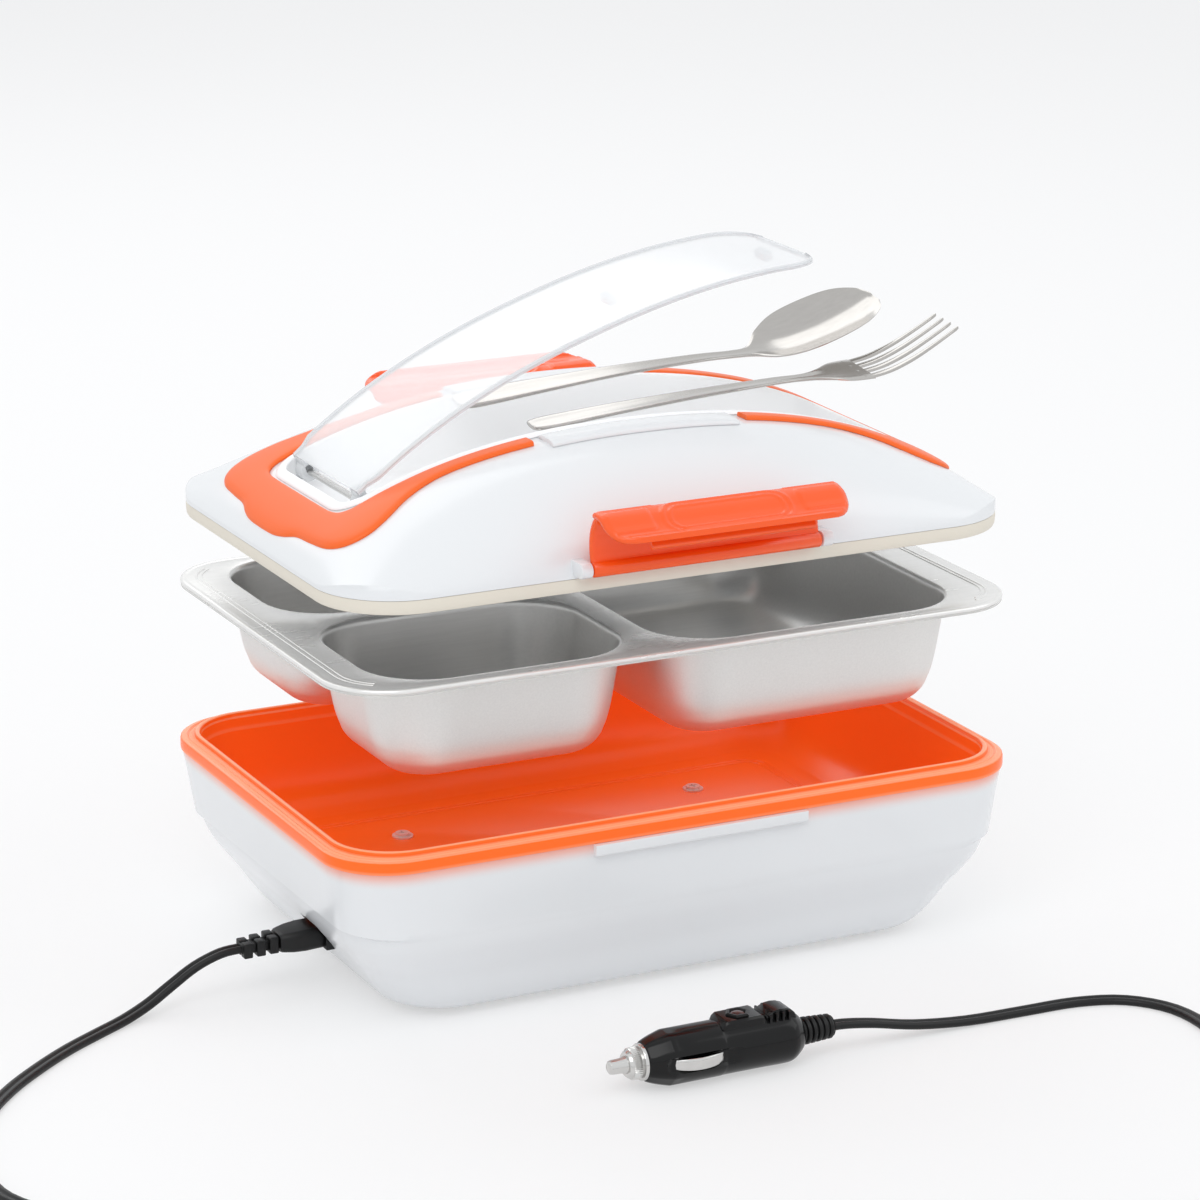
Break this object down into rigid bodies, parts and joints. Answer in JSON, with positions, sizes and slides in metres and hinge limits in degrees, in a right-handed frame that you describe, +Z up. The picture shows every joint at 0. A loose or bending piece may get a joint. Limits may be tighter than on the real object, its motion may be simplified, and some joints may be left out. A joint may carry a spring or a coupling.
{
  "type": "electric lunch box",
  "caption": "Electric lunch box with white base, orange liner, lift-out steel food tray, latched lid with cutlery well and cover, spoon, fork and 12 V lead.",
  "frame": {"origin": "On the resting surface, under the middle of the base", "axes": "+X along the length of the box towards the spoon and fork tips, +Y from the side that faces the plug to the other side, +Z up"},
  "size_m": [0.4072, 0.413, 0.2353],
  "materials": {
    "white_shell": "Glossy moulded white plastic",
    "orange_plastic": "Glossy moulded orange plastic",
    "tray_steel": "Satin stainless steel, brighter on the rim",
    "cutlery_steel": "Polished stainless steel",
    "bright_steel": "Bright nickel-plated steel",
    "heat_plate": "Plain aluminium sheet",
    "pale_insulation": "Pale fibre insulation",
    "cream_seal": "Cream silicone rubber",
    "milky_cover": "Milky see-through plastic, glossy",
    "dark_rubber": "Dark rubber pads",
    "black_plastic": "Black moulded plastic, satin",
    "black_rubber": "Black flexible strain relief",
    "black_cord": "Black flat twin cord, satin",
    "black_gloss": "Black moulded plastic, glossy",
    "brass_metal": "Plain brass",
    "red_wire": "Red wire insulation",
    "clear_glass": "Glass fuse tube",
    "dark_lens": "Dark lamp lens, glossy"
  },
  "bodies": {
    "base": {"base_tub": "white_shell", "rubber_feet": "dark_rubber", "liner": "orange_plastic", "liner_screws": "bright_steel", "screw_washers": "bright_steel", "heating_plate": "heat_plate", "ptc_heater": "heat_plate", "heater_clip": "bright_steel", "thermal_cutout": "pale_insulation", "insulation_pad": "pale_insulation", "heater_wires": "red_wire", "inlet_socket": "black_plastic", "inlet_pins": "brass_metal", "inlet_connector": "black_plastic", "strain_relief": "black_rubber", "power_cord": "black_cord", "plug_boot": "black_rubber", "plug_shell_top": "black_gloss", "plug_shell_bottom": "black_gloss", "plug_nose_ring": "bright_steel", "plug_fuse": "clear_glass", "plug_fuse_clip": "brass_metal", "plug_spring": "bright_steel", "plug_lens": "dark_lens"},
    "tray": {"food_tray": "tray_steel"},
    "lid": {"lid_shell": "white_shell", "lid_inner_panel": "white_shell", "lid_seal": "cream_seal", "cutlery_well": "white_shell", "left_trim": "orange_plastic", "right_trim": "orange_plastic", "finger_pads": "white_shell", "cover_lugs": "white_shell", "front_latch_pin": "bright_steel", "rear_latch_pin": "bright_steel", "cover_pin": "bright_steel"},
    "front_latch": {"front_latch": "orange_plastic"},
    "rear_latch": {"rear_latch": "orange_plastic"},
    "cover": {"cutlery_cover": "milky_cover"},
    "spoon": {"spoon": "cutlery_steel"},
    "fork": {"fork": "cutlery_steel"},
    "tip_pin": {"plug_tip_pin": "bright_steel"},
    "contact_left": {"plug_contact_left": "bright_steel"},
    "contact_right": {"plug_contact_right": "bright_steel"}
  },
  "joints": [
    {"name": "lid_lift", "type": "slide", "parent": "base", "child": "lid", "axis": [0, 0, 1], "range_m": [-0.079, 0]},
    {"name": "tray_lift", "type": "slide", "parent": "base", "child": "tray", "axis": [0, 0, 1], "range_m": [-0.0553, 0]},
    {"name": "front_latch_hinge", "type": "hinge", "parent": "lid", "child": "front_latch", "pos_m": [0, -0.0883, 0.155], "axis": [-1, 0, 0], "range_deg": [-122, 34]},
    {"name": "rear_latch_hinge", "type": "hinge", "parent": "lid", "child": "rear_latch", "pos_m": [0, 0.0883, 0.155], "axis": [1, 0, 0], "range_deg": [-154, 2]},
    {"name": "cover_hinge", "type": "hinge", "parent": "lid", "child": "cover", "pos_m": [-0.095, 0, 0.1682], "axis": [0, -1, 0], "range_deg": [-18.5, 9]},
    {"name": "spoon_lift", "type": "hinge", "parent": "lid", "child": "spoon", "pos_m": [-0.235, 0.0138, 0.575], "axis": [0, -1, 0], "range_deg": [-6, 3]},
    {"name": "fork_lift", "type": "hinge", "parent": "lid", "child": "fork", "pos_m": [-0.19, -0.0154, 0.65], "axis": [0, -1, 0], "range_deg": [-6, 3]},
    {"name": "tip_press", "type": "slide", "parent": "base", "child": "tip_pin", "axis": [1, 0, 0], "range_m": [0, 0.0022], "stiffness_N_per_m": 400, "springref_m": -0.001, "deforming": ["plug_spring"]},
    {"name": "contact_left_press", "type": "slide", "parent": "base", "child": "contact_left", "axis": [0, 1, 0], "range_m": [0, 0.0012], "stiffness_N_per_m": 400, "springref_m": -0.001},
    {"name": "contact_right_press", "type": "slide", "parent": "base", "child": "contact_right", "axis": [0, -1, 0], "range_m": [0, 0.0012], "stiffness_N_per_m": 400, "springref_m": -0.001}
  ],
  "couplings": [
    {"joint": "tray_lift", "follows": "lid_lift", "ratio": 0.7},
    {"joint": "spoon_lift", "follows": "cover_hinge", "ratio": 0.3243},
    {"joint": "fork_lift", "follows": "cover_hinge", "ratio": 0.3243}
  ]
}
